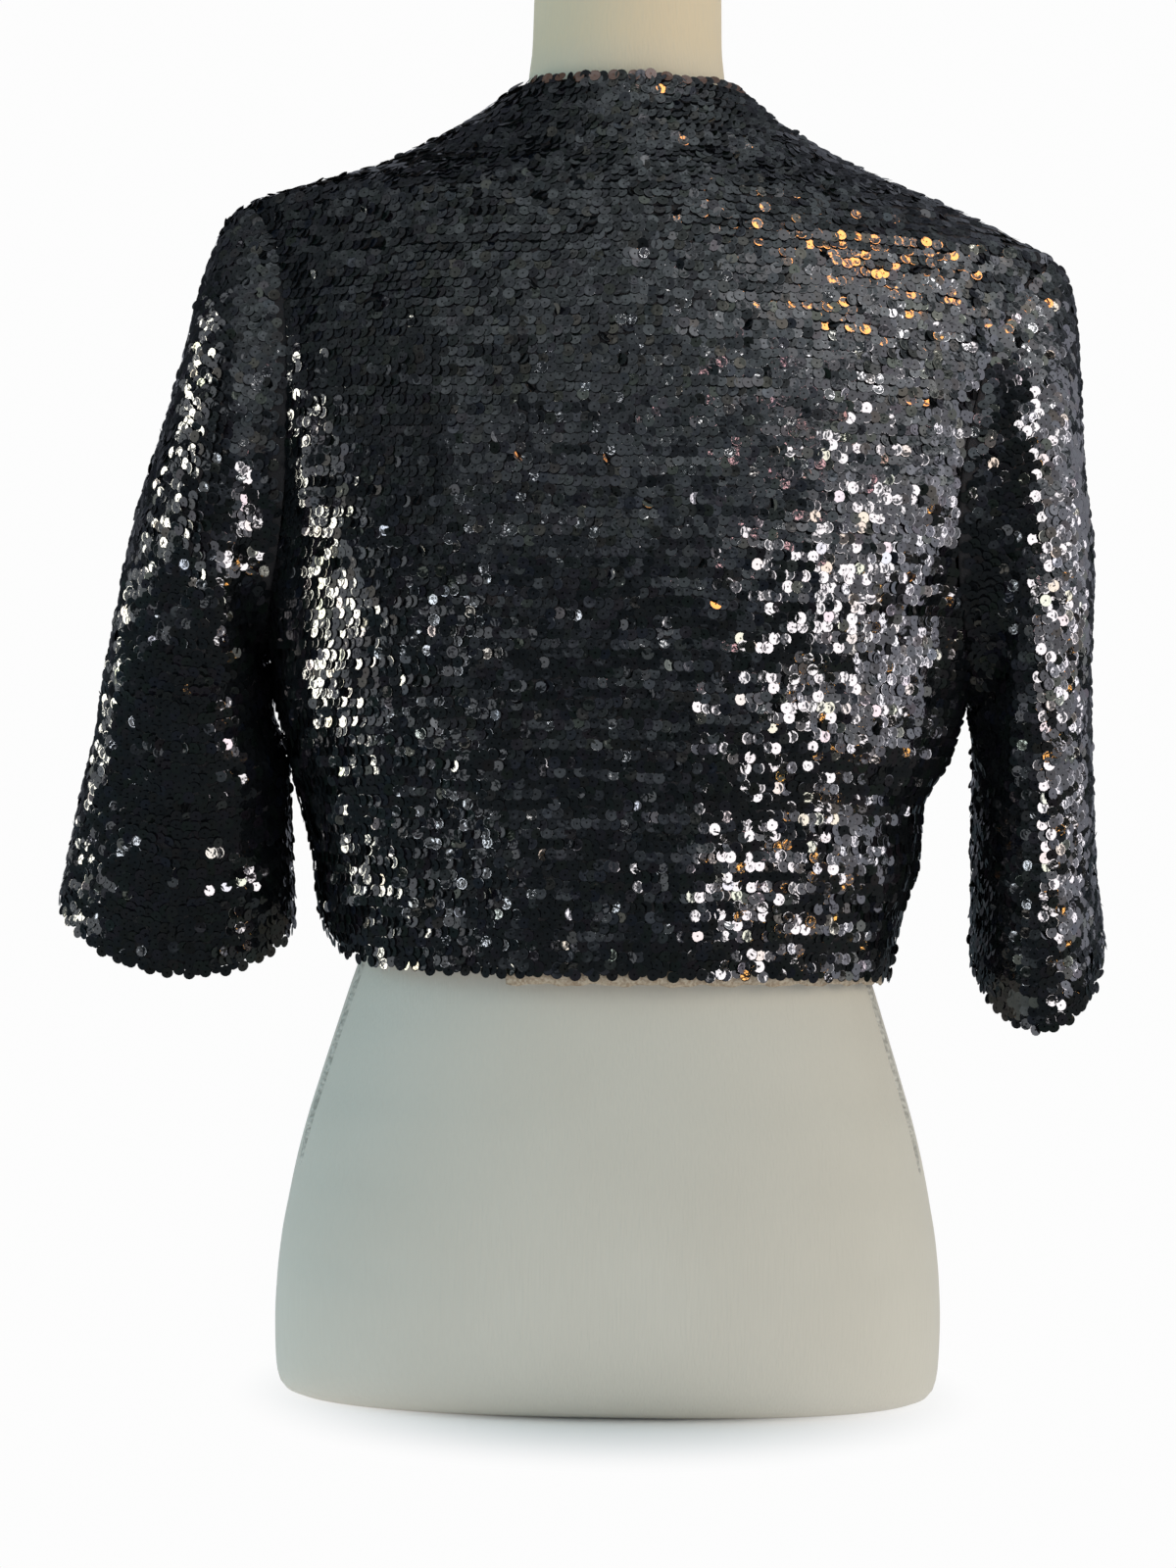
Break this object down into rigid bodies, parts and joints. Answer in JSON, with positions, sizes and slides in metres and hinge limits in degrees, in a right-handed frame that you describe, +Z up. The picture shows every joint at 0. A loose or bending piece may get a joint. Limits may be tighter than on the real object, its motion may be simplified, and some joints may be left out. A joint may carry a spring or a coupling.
{
  "type": "sequinned bolero jacket on a limbless dress form",
  "caption": "Cropped black sequinned jacket with elbow sleeves and an open collarless front, worn by a limbless dress form.",
  "frame": {"origin": "the middle of the dress form's flat base, on the surface that it stands on", "axes": "+Z up, the jacket's open front towards -Y and its back towards +Y, the wearer's left sleeve on the +X side"},
  "size_m": [0.5514, 0.2428, 0.755],
  "materials": {
    "sequin_cloth": "black net closely covered with shiny cupped sequins",
    "jersey": "matte fine knit"
  },
  "bodies": {
    "root": {"back": "sequin_cloth", "left_front": "sequin_cloth", "right_front": "sequin_cloth", "left_sleeve": "sequin_cloth", "right_sleeve": "sequin_cloth", "dress_form": "jersey"}
  },
  "joints": []
}
